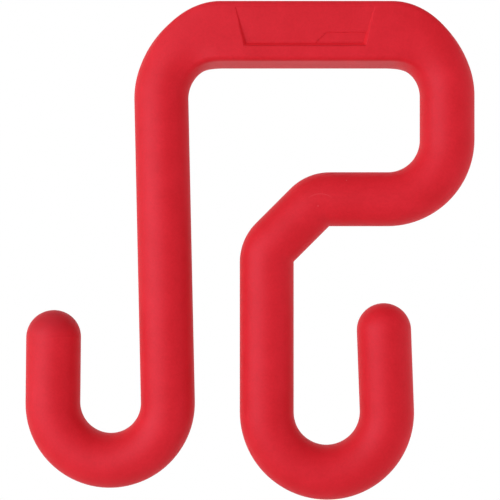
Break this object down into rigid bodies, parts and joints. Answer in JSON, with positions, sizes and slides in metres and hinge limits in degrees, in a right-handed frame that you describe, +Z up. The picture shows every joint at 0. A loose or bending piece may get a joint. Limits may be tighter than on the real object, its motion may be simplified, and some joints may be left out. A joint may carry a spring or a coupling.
{
  "type": "bucket hook",
  "caption": "Moulded plastic hook that hangs by a flat bar over a bucket's rim, with a pocket for the rim, a slot for the wall and a J-shaped tool hook on either side of it.",
  "frame": {"origin": "middle of the rim pocket's width, on the flat underside of the bar at mid-thickness", "axes": "+Z up, +X along the bar towards the leg that turns back under it, front face with the recess at -Y"},
  "size_m": [0.2074, 0.025, 0.2283],
  "materials": {
    "hook_polymer": "satin moulded"
  },
  "bodies": {
    "root": {"bucket_hook": "hook_polymer"}
  },
  "joints": []
}
